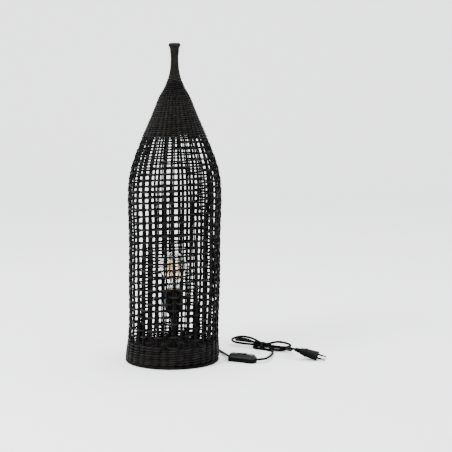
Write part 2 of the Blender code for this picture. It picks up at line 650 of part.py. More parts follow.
def make_cords():
    lay = Matrix.Translation(HANK_CENTRE) @ Matrix.Rotation(HANK_TURN, 4, "Z")
    plug_end = PLUG_REAR - plug_frame().col[0].to_3d() * END_GAP
    routes = {
        "cord_to_switch": [CORD_START, *TO_SWITCH],
        "cord_to_hank": [*TO_HANK, *(lay @ Vector(p) for p in HANK_ENTRY)],
        "cord_to_plug": [lay @ Vector(HANK_EXIT), *TO_PLUG, plug_end],
    }
    for name, route in routes.items():
        tube(name, smooth_route(route, 4 * CORD_R), CORD_R, black_plastic(name), 3)
    outline = []
    for x, y in hank_outline():
        drawn_in = WAIST_DEPTH * math.exp(-(((x - WAIST_AT) / WAIST_SPREAD) ** 2))
        outline.append((x, y - math.copysign(drawn_in, y)))
    hank = extruded("cord_hank", outline, HANK_LOW, HANK_TOP, black_plastic("cord_hank"), lay)
    over = Matrix.Translation((WAIST_AT, 0, WAIST_TOP + HANK_TOP / 2))
    cut(hank, cutter("tie_room", (2 * TIE_ROOM, 2 * HANK_WIDTH, HANK_TOP), lay @ over))
    make_tie(lay @ Matrix.Translation((WAIST_AT, 0, 0)))


def hank_outline():
    """Round ends, and points between them on both sides for the waist."""
    points = capsule(HANK_LENGTH, HANK_WIDTH, 10)
    reach, across = (HANK_LENGTH - HANK_WIDTH) / 2, HANK_WIDTH / 2
    side = [reach * (1 - 2 * k / 12) for k in range(1, 12)]
    half = len(points) // 2
    return [*points[:half], *((x, across) for x in side), *points[half:], *((-x, -across) for x in side)]


def make_tie(lay):
    """A band round the hank's waist."""
    bm = bmesh.new()
    inner_y = HANK_WIDTH / 2 - WAIST_DEPTH + 2 * GAP
    outer_y = inner_y + TIE_WALL
    inner_low, inner_high = HANK_LOW - GAP, WAIST_TOP + GAP
    low, high = inner_low - TIE_WALL, inner_high + TIE_WALL
    rings = []
    for x in (-TIE_LENGTH / 2, TIE_LENGTH / 2):
        outer = [(x, -outer_y, low), (x, outer_y, low), (x, outer_y, high), (x, -outer_y, high)]
        inner = [
            (x, -inner_y, inner_low), (x, inner_y, inner_low),
            (x, inner_y, inner_high), (x, -inner_y, inner_high),
        ]
        rings.append(([bm.verts.new(p) for p in outer], [bm.verts.new(p) for p in inner]))
    (out_a, in_a), (out_b, in_b) = rings
    for i in range(4):
        j = (i + 1) % 4
        bm.faces.new((out_a[i], out_a[j], out_b[j], out_b[i]))
        bm.faces.new((in_a[i], in_a[j], in_b[j], in_b[i]))
        bm.faces.new((out_a[i], out_a[j], in_a[j], in_a[i]))
        bm.faces.new((out_b[i], out_b[j], in_b[j], in_b[i]))
    return add("hank_tie", mesh_of("hank_tie", bm), black_plastic("hank_tie"), lay)


def plug_frame():
    """Along the plug from its tail: X to the pins, Y across them, Z through its thickness."""
    heading = Matrix.Rotation(PLUG_TURN, 4, "Z") @ Matrix.Rotation(PLUG_DIP, 4, "Y")
    return Matrix.Translation(PLUG_REAR) @ heading @ Matrix.Rotation(PLUG_ROLL, 4, "X")


def make_plug():
    stations = [
        (0.0, 0.0042, 0.0042), (0.0050, 0.0048, 0.0046), (0.0110, 0.0074, 0.0054),
        (0.0180, 0.0116, 0.0060), (0.0235, 0.0138, 0.0062), (0.0240, 0.0152, 0.0072),
        (0.0266, 0.0154, 0.0073), (0.0275, 0.0142, 0.0064), (0.0400, 0.0156, 0.0066),
        (0.0520, 0.0172, 0.0068), (PLUG_LENGTH, 0.0166, 0.0062),
    ]
    rings = []
    for x, half_width, half_height in stations:
        ring = []
        for k in range(20):
            c, s = math.cos(math.tau * k / 20), math.sin(math.tau * k / 20)
            across, up = math.copysign(abs(c) ** 0.8, c), math.copysign(abs(s) ** 0.6, s)
            ring.append((x, half_width * across, half_height * up))
        rings.append(ring)
    place = plug_frame()
    lofted("plug_body", rings, black_plastic("plug_body"), place)
    for number, side in ((1, -1), (2, 1)):
        name = f"plug_pin_{number}"
        start, end = PLUG_LENGTH + GAP, PLUG_LENGTH + PIN_LENGTH
        pin = [(0, start), (PIN_R, start), (PIN_R, end - 0.0016), (0.0010, end), (0, end)]
        across = Matrix.Translation((0, side * PIN_APART / 2, 0)) @ turn_about("Y", math.pi / 2)
        turned(name, pin, 12, steel(name), place @ across)


def main():
    clear_scene()
    make_shade()
    make_base()
    make_holder()
    make_bulb()
    make_switch()
    make_cords()
    make_plug()


main()
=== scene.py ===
"""The looks of the woven rattan bottle lamp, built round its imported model: the weave strand by strand,
the bulb and its holder, the cord with its hank, switch and plug, and a plain studio."""

import math

import bmesh
import bpy
import numpy as np
from mathutils import Matrix, Vector


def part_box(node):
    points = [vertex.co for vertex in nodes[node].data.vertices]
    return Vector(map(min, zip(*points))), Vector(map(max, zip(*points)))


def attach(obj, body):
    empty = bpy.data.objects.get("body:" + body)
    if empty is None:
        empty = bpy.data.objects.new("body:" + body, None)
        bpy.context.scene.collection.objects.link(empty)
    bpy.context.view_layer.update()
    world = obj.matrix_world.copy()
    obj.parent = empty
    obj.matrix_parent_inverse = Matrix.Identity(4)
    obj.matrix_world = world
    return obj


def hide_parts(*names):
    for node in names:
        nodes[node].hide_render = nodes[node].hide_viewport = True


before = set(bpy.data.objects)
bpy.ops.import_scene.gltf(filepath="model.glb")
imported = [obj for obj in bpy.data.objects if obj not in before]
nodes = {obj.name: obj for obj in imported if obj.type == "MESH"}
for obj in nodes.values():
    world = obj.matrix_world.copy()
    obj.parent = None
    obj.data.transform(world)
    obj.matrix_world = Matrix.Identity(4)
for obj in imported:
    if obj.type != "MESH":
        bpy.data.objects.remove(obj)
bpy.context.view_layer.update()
TURN = math.tau

# The shade's outline: height and outer radius, from the foot to the rim, as the model has it.
OUTLINE = np.array([
    (0.000, 0.1040), (0.020, 0.1038), (0.045, 0.1016), (0.090, 0.0999), (0.180, 0.1014), (0.270, 0.1011),
    (0.335, 0.1027), (0.362, 0.1031), (0.400, 0.1014), (0.437, 0.0939), (0.490, 0.0737), (0.542, 0.0510),
    (0.585, 0.0332), (0.602, 0.0231), (0.620, 0.0154), (0.637, 0.0104), (0.655, 0.0082), (0.672, 0.0080),
    (0.686, 0.0098), (0.700, 0.0112),
])
STAKES = 35  # an odd number, so that each turn of the weaver passes over what the last one passed under
ROD_R, ROD_APART = 0.00190, 0.0036  # each stake is two rods side by side
STAKE_PHASE = math.radians(-88.6)  # where one of the front stakes stands
SKIRT_LOW, OPEN_LOW, CONE_LOW, NECK_LOW, NECK_TOP = 0.0085, 0.0460, 0.4970, 0.6180, 0.6885
ROW_TILT = 0.034  # how steeply the rows climb to the right
PROUD = 0.0010  # how far the weaver's crests stand past the outline
LONG_STAKE_TOP, SHORT_STAKE_TOP = 0.6870, 0.600  # one stake in four goes up into the neck
# Along the height: the weaver's climb in one turn, and how far it swings in and out.
PITCH = [(0, .0050), (.0455, .0050), (.0460, .0118), (.10, .0147), (.34, .0147), (.37, .0122), (.49, .0127),
         (.4970, .0045), (.610, .0043), (.622, .0030), (.640, .0021), (.70, .0021)]
SWING = [(0, .0030), (.044, .0030), (.050, .0022), (.49, .0022), (.50, .0026), (.57, .0022), (.61, .0014),
         (.64, .0006), (.70, .0006)]
# Half its height and half its thickness: the weaver is a flat oval reed.
REED_HIGH = [(0, .00165), (.044, .00165), (.048, .00230), (.36, .00230), (.47, .00200), (.50, .00190),
             (.605, .00180), (.618, .0015), (.640, .00105), (.70, .00105)]
REED_THICK = [(0, .0015), (.044, .0015), (.050, .0013), (.49, .0013), (.50, .0015), (.60, .0014),
              (.64, .0008), (.70, .0008)]
NOTCH_AT, NOTCH_HALF, NOTCH_TOP = math.radians(75), 0.0082, 0.0190  # the gap in the foot for the cord
FOOT_R = 0.1  # near enough the foot's radius, to turn a width of that gap into an angle

CORD_R = 0.0027  # half the cord's thickness
SWITCH_CENTRE, SWITCH_TURN = Vector((0.1530, -0.0195, 0)), math.radians(-27.5)
HANK_CENTRE, HANK_TURN = Vector((0.1970, 0.1225, 0)), math.radians(-32)
PLUG_REAR = Vector((0.2707, 0.0078, 0.0220))
PLUG_TURN, PLUG_DIP, PLUG_ROLL = math.radians(-11), math.radians(14.6), math.radians(11)


# ---- Materials ----

class Look:
    """A material with a Principled shader, and short ways to add nodes to it."""

    def __init__(self, name, colour, roughness, metallic=0.0):
        self.material = bpy.data.materials.new(name)
        self.material.use_nodes = True
        self.tree = self.material.node_tree
        self.shader = self.tree.nodes["Principled BSDF"]
        self.set("Base Color", (*colour, 1))
        self.set("Roughness", roughness)
        self.set("Metallic", metallic)

    def set(self, socket, value):
        self.shader.inputs[socket].default_value = value

    def node(self, kind, settings=(), **values):
        made = self.tree.nodes.new("ShaderNode" + kind)
        for key, value in dict(settings).items():
            setattr(made, key, value)
        for key, value in values.items():
            socket = made.inputs[key.replace("_", " ")]
            if isinstance(value, bpy.types.NodeSocket):
                self.tree.links.new(value, socket)
            else:
                socket.default_value = value
        return made

    def link(self, output, socket):
        self.tree.links.new(output, self.shader.inputs[socket])

    def noise(self, vector, scale, detail=3.0, roughness=0.55):
        return self.node("TexNoise", Vector=vector, Scale=scale, Detail=detail, Roughness=roughness)

    def ramp(self, value, *stops):
        made = self.node("ValToRGB", Fac=value)
        elements = made.color_ramp.elements
        while len(elements) < len(stops):
            elements.new(0.5)
        for element, (place, colour) in zip(elements, stops):
            element.position = place
            element.color = (*colour, 1) if isinstance(colour, tuple) else (colour, colour, colour, 1)
        return made.outputs["Color"]

    def bump(self, height, strength, distance, before=None):
        made = self.node("Bump", Height=height, Strength=strength, Distance=distance)
        if before:
            self.tree.links.new(before.outputs["Normal"], made.inputs["Normal"])
        self.link(made.outputs["Normal"], "Normal")
        return made

    def place(self):
        return self.node("TexCoord").outputs["Object"]


def rattan_look(name, dark, light, wear_and_highlight):
    """Black-stained rattan: fibres along the strand, thin places in the stain, and a satin sheen."""
    look = Look(name, dark, 0.45)
    grain = look.node("Attribute", {"attribute_name": "grain"}).outputs["Vector"]
    tone = look.node("Attribute", {"attribute_name": "tone"}).outputs["Fac"]
    along = look.node("Mapping", Vector=grain, Scale=(35, 1500, 1500)).outputs["Vector"]
    fibre = look.noise(along, 1.0, 4.0, 0.6).outputs["Fac"]
    blotch = look.noise(look.node("Mapping", Vector=grain, Scale=(28, 160, 160)).outputs["Vector"], 1.0, 2.0)
    stain = look.node("Math", {"operation": "MULTIPLY_ADD"})
    look.tree.links.new(fibre, stain.inputs[0])
    stain.inputs[1].default_value = 0.55
    look.tree.links.new(tone, stain.inputs[2])
    base = look.ramp(stain.outputs[0], (0.36, dark), (0.98, light))
    bare = look.ramp(blotch.outputs["Fac"], (0.60, 0.0), (0.76, 0.5))
    mixed = look.node("Mix", {"data_type": "RGBA"})
    look.tree.links.new(bare, mixed.inputs["Factor"])
    look.tree.links.new(base, mixed.inputs["A"])
    mixed.inputs["B"].default_value = (*wear_and_highlight, 1)
    look.link(mixed.outputs["Result"], "Base Color")
    look.link(look.ramp(fibre, (0.3, 0.34), (0.7, 0.56)), "Roughness")
    coarse = look.bump(blotch.outputs["Fac"], 0.35, 0.0006)
    look.bump(fibre, 0.55, 0.00035, coarse)
    look.set("Specular IOR Level", 0.035)
    return look.material


def plastic_look(name, colour, roughness, grain=2600.0, strength=0.14, specular=0.03):
    """Moulded plastic: a fine spark-eroded texture, and slow unevenness in its gloss."""
    look = Look(name, colour, roughness)
    place = look.place()
    fine = look.noise(place, grain, 2.0).outputs["Fac"]
    slow = look.noise(place, 90.0, 3.0).outputs["Fac"]
    look.link(look.ramp(slow, (0.3, roughness - 0.06), (0.7, roughness + 0.08)), "Roughness")
    shade = tuple(c * 0.80 for c in colour), tuple(c * 1.22 for c in colour)
    look.link(look.ramp(slow, (0.3, shade[0]), (0.7, shade[1])), "Base Color")
    look.bump(fine, strength, 0.0002)
    look.set("Specular IOR Level", specular)
    return look.material


def metal_look(name, colour, roughness, scratch=700.0, squash=(1, 1, 0.08)):
    """Plated metal: fine scratches along one direction, and darker patches of dull film."""
    look = Look(name, colour, roughness, 1.0)
    place = look.place()
    lines = look.noise(look.node("Mapping", Vector=place, Scale=squash).outputs["Vector"], scratch, 4.0)
    film = look.noise(place, 140.0, 3.0).outputs["Fac"]
    look.link(look.ramp(film, (0.35, tuple(c * 0.62 for c in colour)), (0.65, colour)), "Base Color")
    look.link(look.ramp(lines.outputs["Fac"], (0.3, roughness - 0.08), (0.7, roughness + 0.14)), "Roughness")
    look.bump(lines.outputs["Fac"], 0.10, 0.0001)
    return look.material


def cast_look():
    look = Look("cast_iron", (0.045, 0.044, 0.043), 0.7, 0.7)
    place = look.place()
    lumps = look.noise(place, 260.0, 6.0).outputs["Fac"]
    rust = look.noise(place, 45.0, 5.0).outputs["Fac"]
    look.link(look.ramp(rust, (0.5, (0.045, 0.044, 0.043)), (0.72, (0.10, 0.042, 0.018))), "Base Color")
    look.bump(lumps, 0.6, 0.0008)
    return look.material


def felt_look():
    look = Look("black_felt", (0.012, 0.012, 0.013), 0.95)
    place = look.place()
    hair = look.noise(place, 1800.0, 6.0, 0.75).outputs["Fac"]
    look.link(look.ramp(hair, (0.35, (0.006, 0.006, 0.007)), (0.7, (0.030, 0.030, 0.032))), "Base Color")
    look.bump(hair, 0.7, 0.0005)
    look.set("Sheen Weight", 0.5)
    look.set("Sheen Roughness", 0.5)
    return look.material


def ceramic_look():
    look = Look("white_ceramic", (0.72, 0.70, 0.65), 0.45)
    place = look.place()
    specks = look.noise(place, 900.0, 4.0).outputs["Fac"]
    look.link(look.ramp(specks, (0.30, (0.55, 0.52, 0.46)), (0.42, (0.74, 0.72, 0.67))), "Base Color")
    look.bump(specks, 0.15, 0.0003)
    return look.material


def glass_look(name, roughness):
    look = Look(name, (0.97, 0.98, 0.98), roughness)
    look.set("Transmission Weight", 1.0)
    look.set("IOR", 1.46)
    place = look.place()
    waves = look.noise(place, 45.0, 1.0).outputs["Fac"]
    look.bump(waves, 0.04, 0.0006)
    return look.material


def filament_look():
    """Amber phosphor over the tiny chips of the filament, with a faint painted glow that brightens the rods.
    """
    look = Look("amber_phosphor", (0.80, 0.36, 0.045), 0.5)
    place = look.place()
    chips = look.node("TexWave", {"wave_type": "BANDS", "bands_direction": "Z"}, Vector=place, Scale=160.0)
    bands = look.ramp(chips.outputs["Fac"], (0.2, (0.62, 0.28, 0.012)), (0.8, (0.84, 0.48, 0.04)))
    look.link(bands, "Base Color")
    look.bump(chips.outputs["Fac"], 0.25, 0.0002)
    # Painted glow: the emission makes the rods look brighter than their colour alone.
    look.set("Emission Color", (1.0, 0.47, 0.020, 1))
    look.set("Emission Strength", 0.9)
    return look.material


def cord_look():
    """The smooth sheath of a mains cord: slightly uneven, with a soft gloss."""
    look = Look("cord_sheath", (0.0020, 0.0020, 0.0021), 0.50)
    place = look.place()
    slow = look.noise(place, 70.0, 3.0).outputs["Fac"]
    fine = look.noise(place, 1500.0, 3.0).outputs["Fac"]
    look.link(look.ramp(slow, (0.3, (0.0015, 0.0015, 0.0016)), (0.7, (0.0030, 0.0030, 0.0032))), "Base Color")
    look.link(look.ramp(slow, (0.3, 0.44), (0.7, 0.60)), "Roughness")
    look.set("Specular IOR Level", 0.02)
    look.bump(fine, 0.12, 0.0002)
    return look.material


def painted_look():
    """Satin powder coat with its orange-peel surface."""
    look = Look("powder_coat", (0.006, 0.006, 0.006), 0.60)
    place = look.place()
    peel = look.noise(place, 420.0, 2.0).outputs["Fac"]
    look.link(look.ramp(peel, (0.3, 0.52), (0.7, 0.70)), "Roughness")
    look.link(look.ramp(peel, (0.3, (0.0012, 0.0012, 0.0012)), (0.7, (0.0028, 0.0028, 0.0028))), "Base Color")
    look.set("Specular IOR Level", 0.01)
    look.bump(peel, 0.3, 0.0004)
    return look.material


def floor_look():
    look = Look("studio_paper", (0.88, 0.88, 0.88), 0.75)
    fine = look.noise(look.place(), 160.0, 3.0).outputs["Fac"]
    look.link(look.ramp(fine, (0.3, (0.872, 0.874, 0.876)), (0.7, (0.888, 0.888, 0.888))), "Base Color")
    look.set("Specular IOR Level", 0.15)
    return look.material


RATTAN = rattan_look(
    "black_rattan", (0.0006, 0.0006, 0.0006), (0.0120, 0.0109, 0.0101), (0.015, 0.0095, 0.006)
)
RATTAN_FINE = rattan_look(
    "black_rattan_fine", (0.0035, 0.0030, 0.0027), (0.022, 0.019, 0.0165), (0.045, 0.029, 0.017)
)
BLACK_PLASTIC = plastic_look("black_plastic", (0.0022, 0.0022, 0.0023), 0.42, specular=0.02)
# Painted light: the switch cover is a lighter grey than the tray, to stand in for the light on its top.
PAINTED_LIGHT_COVER_PLASTIC = plastic_look("dark_grey_plastic", (0.010, 0.010, 0.0103), 0.30, specular=0.08)
SHEATH = cord_look()
DARK_STEEL = metal_look("phosphated_steel", (0.020, 0.020, 0.021), 0.52)
BRASS = metal_look("brass", (0.70, 0.50, 0.22), 0.30)
STEEL = metal_look("screw_steel", (0.52, 0.53, 0.55), 0.32)
NICKEL = metal_look("nickel_plate", (0.20, 0.19, 0.18), 0.26, 500.0)
CAP_METAL = metal_look("cap_brass", (0.28, 0.19, 0.11), 0.30, 400.0, (0.1, 0.1, 1))
CLEAR_GLASS = glass_look("clear_glass", 0.0)
STEM_GLASS = glass_look("stem_glass", 0.03)
AMBER = filament_look()
TIE_PLASTIC = plastic_look("tie_coating", (0.016, 0.016, 0.017), 0.36, 1500.0)


# ---- Ways to make pieces ----

def add(name, mesh, look, body, stands_for=(), angle=35):
    """A finished piece: its material, the body it moves with and the model's nodes that it stands for."""
    mesh.materials.append(look)
    mesh.shade_smooth()
    if angle:
        mesh.set_sharp_from_angle(angle=math.radians(angle))
    piece = bpy.data.objects.new(name, mesh)
    bpy.context.scene.collection.objects.link(piece)
    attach(piece, body)
    if stands_for:
        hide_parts(*stands_for)
    return piece


def mesh_of(name, points, faces):
    mesh = bpy.data.meshes.new(name)
    mesh.from_pydata([tuple(p) for p in points], [], faces)
    mesh.validate()
    return mesh


def ring_faces(rings, count, start=0, closed=False):
    """Quads between rings of points that follow each other."""
    faces = []
    for i in range(rings if closed else rings - 1):
        low, high = start + i * count, start + (i + 1) % rings * count
        faces += [(low + j, low + (j + 1) % count, high + (j + 1) % count, high + j) for j in range(count)]
    return faces


def skin(name, rings, look, body, stands_for=(), matrix=None, loop=False, angle=35):
    """A skin over rings of points: capped at both ends, or joined back to the first ring."""
    count = len(rings[0])
    points = [Vector(p) for ring in rings for p in ring]
    if matrix is not None:
        points = [matrix @ p for p in points]
    faces = ring_faces(len(rings), count, 0, loop)
    if not loop:
        faces += [tuple(range(count))[::-1], tuple(range((len(rings) - 1) * count, len(rings) * count))]
    mesh = mesh_of(name, points, faces)
    bm = bmesh.new()
    bm.from_mesh(mesh)
    bmesh.ops.remove_doubles(bm, verts=bm.verts[:], dist=1e-6)
    bmesh.ops.recalc_face_normals(bm, faces=bm.faces[:])
    bm.to_mesh(mesh)
    bm.free()
    return add(name, mesh, look, body, stands_for, angle)


def turned(name, profile, look, body, stands_for=(), steps=72, matrix=None, shape=None, angle=35):
    """A closed outline of (radius, height) turned about Z. shape may change a radius at an angle."""
    rings = []
    for k in range(steps):
        a = TURN * k / steps
        ring = [(shape(r, z, a) if shape else r, z) for r, z in profile]
        rings.append([(r * math.cos(a), r * math.sin(a), z) for r, z in ring])
    return skin(name, rings, look, body, stands_for, matrix, True, angle)


class Strands:
    """Collects strands and makes one mesh of them, with the grain's place at each point. A strand is
    round, or a flat oval where it has a thickness besides its radius. outward is where thick is measured."""

    def __init__(self):
        self.points, self.faces, self.grain, self.tone, self.count = [], [], [], [], 0

    def add(self, spine, radius, tone, sides=8, closed=False, outward=None, thick=None):
        rings = len(spine)
        if closed:
            ahead = np.roll(spine, -1, 0) - np.roll(spine, 1, 0)
        else:
            ahead = np.gradient(spine, axis=0)
        ahead /= np.linalg.norm(ahead, axis=1)[:, None]
        if outward is None:
            outward = spine * (1, 1, 0)
        side = np.cross(ahead, outward)
        side /= np.linalg.norm(side, axis=1)[:, None]
        up = np.cross(side, ahead)
        radius = np.broadcast_to(radius, rings)
        thick = radius if thick is None else np.broadcast_to(thick, rings)
        steps = np.linalg.norm(np.diff(spine, axis=0), axis=1)
        run = np.concatenate([[0], np.cumsum(steps)])
        a = TURN * np.arange(sides) / sides
        c, s = np.cos(a)[None, :, None], np.sin(a)[None, :, None]
        body = (
            spine[:, None] + thick[:, None, None] * c * up[:, None]
            + radius[:, None, None] * s * side[:, None]
        )
        grain = np.empty((rings, sides, 3))
        grain[..., 0] = run[:, None]
        grain[..., 1] = radius[:, None] * np.cos(a) + 0.07 * len(self.points)
        grain[..., 2] = radius[:, None] * np.sin(a)
        self.points.append(body.reshape(-1, 3))
        self.grain.append(grain.reshape(-1, 3))
        self.tone.append(np.repeat(np.broadcast_to(tone, rings), sides))
        start = self.count
        self.faces += ring_faces(rings, sides, start, closed)
        if not closed:
            last = start + (rings - 1) * sides
            self.faces.append(tuple(start + j for j in range(sides))[::-1])
            self.faces.append(tuple(last + j for j in range(sides)))
        self.count += rings * sides

    def piece(self, name, look, body, slot, stands_for=()):
        mesh = mesh_of(name, np.concatenate(self.points), self.faces)
        mesh.attributes.new("grain", "FLOAT_VECTOR", "POINT").data.foreach_set(
            "vector", np.concatenate(self.grain).astype(np.float32).ravel()
        )
        mesh.attributes.new("tone", "FLOAT", "POINT").data.foreach_set(
            "value", np.concatenate(self.tone).astype(np.float32)
        )
        return add(name, mesh, look, body, stands_for, 0)


def at(table, z):
    """A value read from (height, value) pairs."""
    heights, values = zip(*table)
    return np.interp(z, heights, values)


# ---- Camera, floor and light ----

def make_studio():
    camera = bpy.data.objects.new("camera", bpy.data.cameras.new("camera"))
    camera.data.lens = 113.0
    camera.data.sensor_width = 36.0
    camera.location = (0.1167, -3.095, 0.70)
    camera.rotation_euler = (math.radians(90 - 7.36), 0, 0)
    bpy.context.scene.collection.objects.link(camera)
    bpy.context.scene.camera = camera

    bm = bmesh.new()
    half, near, far, bend, tall = 6.0, -5.0, 3.2, 1.2, 6.0
    section = [(near, 0.0), (far, 0.0)]
    section += [
        (far + bend * math.sin(a), bend * (1 - math.cos(a))) for a in np.linspace(0, math.pi / 2, 13)[1:]
    ]
    section.append((far + bend, tall))
    rows = [[bm.verts.new((x, y, z)) for y, z in section] for x in (-half, half)]
    for left, right, right_on, left_on in zip(rows[0], rows[1], rows[1][1:], rows[0][1:]):
        bm.faces.new((left, right, right_on, left_on))
    mesh = bpy.data.meshes.new("studio_floor")
    bm.to_mesh(mesh)
    bm.free()
    mesh.materials.append(floor_look())
    mesh.shade_smooth()
    floor = bpy.data.objects.new("studio_floor", mesh)
    bpy.context.scene.collection.objects.link(floor)

    world = bpy.data.worlds.new("studio")
    bpy.context.scene.world = world
    world.use_nodes = True
    world.node_tree.nodes["Background"].inputs["Color"].default_value = (0.96, 0.98, 1.0, 1)
    world.node_tree.nodes["Background"].inputs["Strength"].default_value = 2.7
    for name, place, aim, size, power in (
        ("key", (-1.9, -1.7, 2.3), (0.05, 0, 0.25), 1.3, 150.0),
        ("top", (0.2, 0.5, 2.8), (0.05, 0, 0.2), 2.0, 50.0),
        ("fill", (2.2, -1.8, 1.2), (0.1, 0, 0.3), 1.6, 6.0),
    ):
        light = bpy.data.objects.new(name, bpy.data.lights.new(name, "AREA"))
        light.data.energy, light.data.size = power, size
        light.location = place
        light.rotation_euler = (Vector(aim) - Vector(place)).to_track_quat("-Z", "Y").to_euler()
        bpy.context.scene.collection.objects.link(light)


# ---- The cord ----

# Round the back of the foot, then forward to the switch and through it.
TO_SWITCH = [
    (0.0315, 0.1175, 0.0108), (0.0344, 0.1270, 0.0080), (0.0400, 0.1360, 0.0050), (0.0495, 0.1420, 0.0033),
    (0.0605, 0.1430, 0.0029), (0.0718, 0.1402, 0.0029), (0.0812, 0.1330, 0.0029), (0.0880, 0.1220, 0.0029),
    (0.0937, 0.1090, 0.0029), (0.0984, 0.0955, 0.0029), (0.1026, 0.0815, 0.0030), (0.1065, 0.0680, 0.0034),
    (0.1105, 0.0535, 0.0042), (0.1142, 0.0390, 0.0052), (0.1178, 0.0245, 0.0063), (0.1209, 0.0110, 0.0073),
    (0.1243, 0.0003, 0.0078), (0.1300, -0.0071, 0.0080), (0.1390, -0.0124, 0.0080),
]
IN_SWITCH = [(0.1530, -0.0195, 0.0080), (0.1680, -0.0268, 0.0080), (0.1762, -0.0305, 0.0080)]
# Out of the switch, in a curve to the right and back, to the hank's near side.
TO_HANK = [
    (0.1834, -0.0331, 0.0081), (0.1906, -0.0340, 0.0084), (0.1974, -0.0318, 0.0086),
    (0.2032, -0.0262, 0.0084), (0.2078, -0.0170, 0.0078), (0.2112, -0.0045, 0.0070),
    (0.2144, 0.0095, 0.0060), (0.2175, 0.0245, 0.0050), (0.2203, 0.0390, 0.0041),
    (0.2221, 0.0530, 0.0034), (0.2227, 0.0655, 0.0030),
]
# From the hank's near end, up to the plug's tail.
TO_PLUG = [
    (0.2632, 0.0678, 0.0066), (0.2650, 0.0590, 0.0092), (0.2638, 0.0508, 0.0118), (0.2598, 0.0434, 0.0142),
    (0.2560, 0.0360, 0.0165), (0.2537, 0.0290, 0.0189), (0.2540, 0.0222, 0.0212), (0.2572, 0.0155, 0.0229),
    (0.2632, 0.0106, 0.0235),
]


def fold(u, v, radius, tip, side, low, high, dip=0.0):
    """Half a turn at the hank's end, in mm: its centre, its radius, which end, and the side it starts on."""
    points = []
    for k in range(7):
        a = math.pi * k / 6
        lift = low + (high - low) * k / 6 - dip * math.sin(a)
        points.append((u + tip * radius * math.sin(a), v + side * radius * math.cos(a), lift))
    return points


# The hank in mm: along it to the right, across it away from the viewer, and up. Six runs and their folds.
HANK = [
    (47.5, -30, 2.9), (43, -23.2, 2.9), (33, -18.7, 2.9), (17, -17.9, 2.9),
    *fold(0.5, -1.8, 16.2, -1, -1, 2.9, 2.9),
    (17, 14.8, 2.9), (31, 15.2, 2.9), *fold(46.5, -0.5, 15.9, 1, 1, 2.9, 4.0),
    (36, -14.2, 6.0), (26, -10.0, 7.4), (16, -6.2, 6.4), (6, -4.4, 5.6), (-6, -5.8, 7.6), (-18, -9.8, 8.6),
    (-33, -14, 9.2), (-47, -15.8, 9.8), *fold(-59, 0, 16.3, -1, -1, 10.4, 17.9),
    (-47, 15.6, 18.1), (-34, 13.6, 17.6), (-21, 10.6, 15.3), (-8, 7.0, 12.0), (6, 4.5, 9.6), (18, 5.4, 11.4),
    (30, 9.4, 15.2), (41, 13.4, 16.8), (51, 15.8, 16.0), *fold(60.5, 0, 16.1, 1, 1, 14.8, 12.4, 1.2),
    (49, -12.6, 11.6), (34, -5.4, 10.2), (21, -2.2, 10.0), (6, -1.2, 10.3), (-8, -3.6, 12.6),
    (-22, -8.6, 14.3), (-36, -13.2, 15.4), *fold(-49, 0, 15.6, -1, -1, 16.0, 12.2),
    (-37, 12.4, 11.8), (-24, 7.2, 10.2), (-11, 3.5, 8.1), (6, 1.4, 5.0), (20, 2.2, 4.2), (34, 1.8, 5.6),
    (47, -0.6, 7.8), (59, -3.2, 9.3), (67, -5.6, 7.7), (76, -8.0, 5.9),
]
TIE_AT = 6.0  # where the tie is along the hank
HANK_PLACE = Matrix.Translation(HANK_CENTRE) @ Matrix.Rotation(HANK_TURN, 4, "Z")
SWITCH_PLACE = Matrix.Translation(SWITCH_CENTRE) @ Matrix.Rotation(SWITCH_TURN, 4, "Z")
PLUG_PLACE = (
    Matrix.Translation(PLUG_REAR) @ Matrix.Rotation(PLUG_TURN, 4, "Z") @ Matrix.Rotation(PLUG_DIP, 4, "Y")
    @ Matrix.Rotation(PLUG_ROLL, 4, "X")
)


def even_curve(points, step, smoothing):
    """Points a step apart along a smooth curve through a route's own points."""
    route = [np.array(p, float) for p in points]
    route = [2 * route[0] - route[1], *route, 2 * route[-1] - route[-2]]
    fine = []
    for a, b, c, d in zip(route, route[1:], route[2:], route[3:]):
        gaps = [max(np.linalg.norm(q - p), 1e-6) ** 0.5 for p, q in ((a, b), (b, c), (c, d))]
        knots = np.cumsum([0] + gaps)
        for k in range(16):
            t = knots[1] + (knots[2] - knots[1]) * k / 16

            def blend(p, q, i, j):
                return ((knots[j] - t) * p + (t - knots[i]) * q) / (knots[j] - knots[i])

            ab, bc, cd = blend(a, b, 0, 1), blend(b, c, 1, 2), blend(c, d, 2, 3)
            fine.append(blend(blend(ab, bc, 0, 2), blend(bc, cd, 1, 3), 1, 2))
    fine = np.array([*fine, route[-2]])
    run = np.concatenate([[0], np.cumsum(np.linalg.norm(np.diff(fine, axis=0), axis=1))])
    wanted = np.linspace(0, run[-1], max(3, round(run[-1] / step) + 1))
    even = np.stack([np.interp(wanted, run, fine[:, i]) for i in range(3)], 1)
    for _ in range(smoothing):
        even[1:-1] = (even[:-2] + 2 * even[1:-1] + even[2:]) / 4
    return even


def cord_route():
    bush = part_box("cord_bush")
    level = (bush[0].z + bush[1].z) / 2
    start = [(r * math.cos(NOTCH_AT), r * math.sin(NOTCH_AT), level) for r in (0.1085, 0.1128)]
    hank = [HANK_PLACE @ (Vector(p) / 1000) for p in HANK]
    tail = PLUG_PLACE @ Vector((0.0010, 0, 0))
    route = [*start, *TO_SWITCH, *IN_SWITCH, *TO_HANK, *hank, *TO_PLUG, tail]
    return even_curve([tuple(p) for p in route], CORD_R, 3)


def make_cord(route):
    curve = bpy.data.curves.new("mains_cord", "CURVE")
    curve.dimensions = "3D"
    curve.bevel_depth = CORD_R
    curve.bevel_resolution = 4
    curve.use_fill_caps = True
    spline = curve.splines.new("POLY")
    spline.points.add(len(route) - 1)
    for slot, point in zip(spline.points, route):
        slot.co = (*point, 1)
    spline.use_smooth = True
    curve.materials.append(SHEATH)
    cord = bpy.data.objects.new("mains_cord", curve)
    bpy.context.scene.collection.objects.link(cord)
    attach(cord, "base")
    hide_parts("cord_to_switch", "cord_to_hank", "cord_hank", "cord_to_plug")
    return cord


